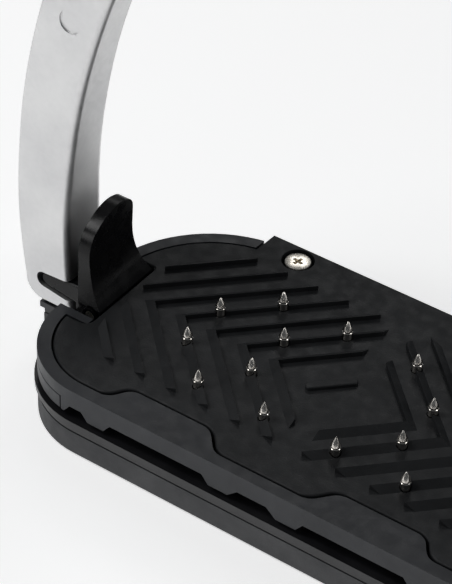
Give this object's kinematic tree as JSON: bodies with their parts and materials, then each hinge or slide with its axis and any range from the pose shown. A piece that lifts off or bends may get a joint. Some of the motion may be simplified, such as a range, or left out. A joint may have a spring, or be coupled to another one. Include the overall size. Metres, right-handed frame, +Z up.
{
  "type": "stirrup iron",
  "caption": "Safety stirrup iron with a hinged side branch, a release lever, a studded cushioned tread and a leather eye on top of the arch.",
  "frame": {"origin": "centre of the base's flat bottom face, under the middle of the tread", "axes": "+X along the tread away from the release branch, +Y to the rear, +Z up towards the leather eye"},
  "size_m": [0.1608, 0.0692, 0.1696],
  "materials": {
    "aluminium": "satin bead-blasted",
    "pad_polymer": "matte, fine grained",
    "rim_polymer": "satin",
    "black_alloy": "satin black",
    "satin_polymer": "satin",
    "shell_polymer": "matte textured",
    "elastomer": "matte",
    "bright_steel": "polished",
    "screw_steel": "satin"
  },
  "bodies": {
    "base": {"base_shell": "shell_polymer", "mid_plate": "black_alloy", "arch_crown": "aluminium", "branch_pin": "screw_steel", "latch_block": "satin_polymer", "lever_pin": "screw_steel", "lever_spring": "screw_steel", "base_screw_1": "screw_steel", "base_screw_2": "screw_steel", "base_screw_3": "screw_steel", "base_screw_4": "screw_steel", "arch_bolt_1": "screw_steel", "arch_bolt_2": "screw_steel", "latch_bolt_1": "screw_steel", "latch_bolt_2": "screw_steel", "bumper_1": "elastomer", "bumper_2": "elastomer", "bumper_3": "elastomer", "bumper_4": "elastomer"},
    "deck": {"deck_frame": "rim_polymer", "end_cap_right": "rim_polymer", "end_cap_front_left": "rim_polymer", "end_cap_rear_left": "rim_polymer", "tread_pad": "pad_polymer", "pad_screw_right": "screw_steel", "pad_screw_left": "screw_steel", "stud_01": "bright_steel", "stud_02": "bright_steel", "stud_03": "bright_steel", "stud_04": "bright_steel", "stud_05": "bright_steel", "stud_06": "bright_steel", "stud_07": "bright_steel", "stud_08": "bright_steel", "stud_09": "bright_steel", "stud_10": "bright_steel", "stud_11": "bright_steel", "stud_12": "bright_steel", "stud_13": "bright_steel", "stud_14": "bright_steel", "stud_15": "bright_steel", "stud_16": "bright_steel", "shoulder_screw_1": "screw_steel", "shoulder_screw_2": "screw_steel", "shoulder_screw_3": "screw_steel", "shoulder_screw_4": "screw_steel"},
    "branch": {"release_branch": "aluminium"},
    "lever": {"release_lever": "satin_polymer"}
  },
  "joints": [
    {"name": "branch_release", "type": "hinge", "parent": "base", "child": "branch", "pos_m": [-0.05796, 0, 0.11115], "axis": [0, 1, 0], "range_deg": [0, 90]},
    {"name": "lever_press", "type": "hinge", "parent": "base", "child": "lever", "pos_m": [-0.058, 0, 0.01605], "axis": [0, -1, 0], "range_deg": [0, 10], "stiffness_Nm_per_rad": 0.35},
    {"name": "deck_travel", "type": "slide", "parent": "base", "child": "deck", "axis": [0, 0, -1], "range_m": [0, 0.0009], "stiffness_N_per_m": 8000, "deforming": ["bumper_1", "bumper_2", "bumper_3", "bumper_4"]}
  ]
}
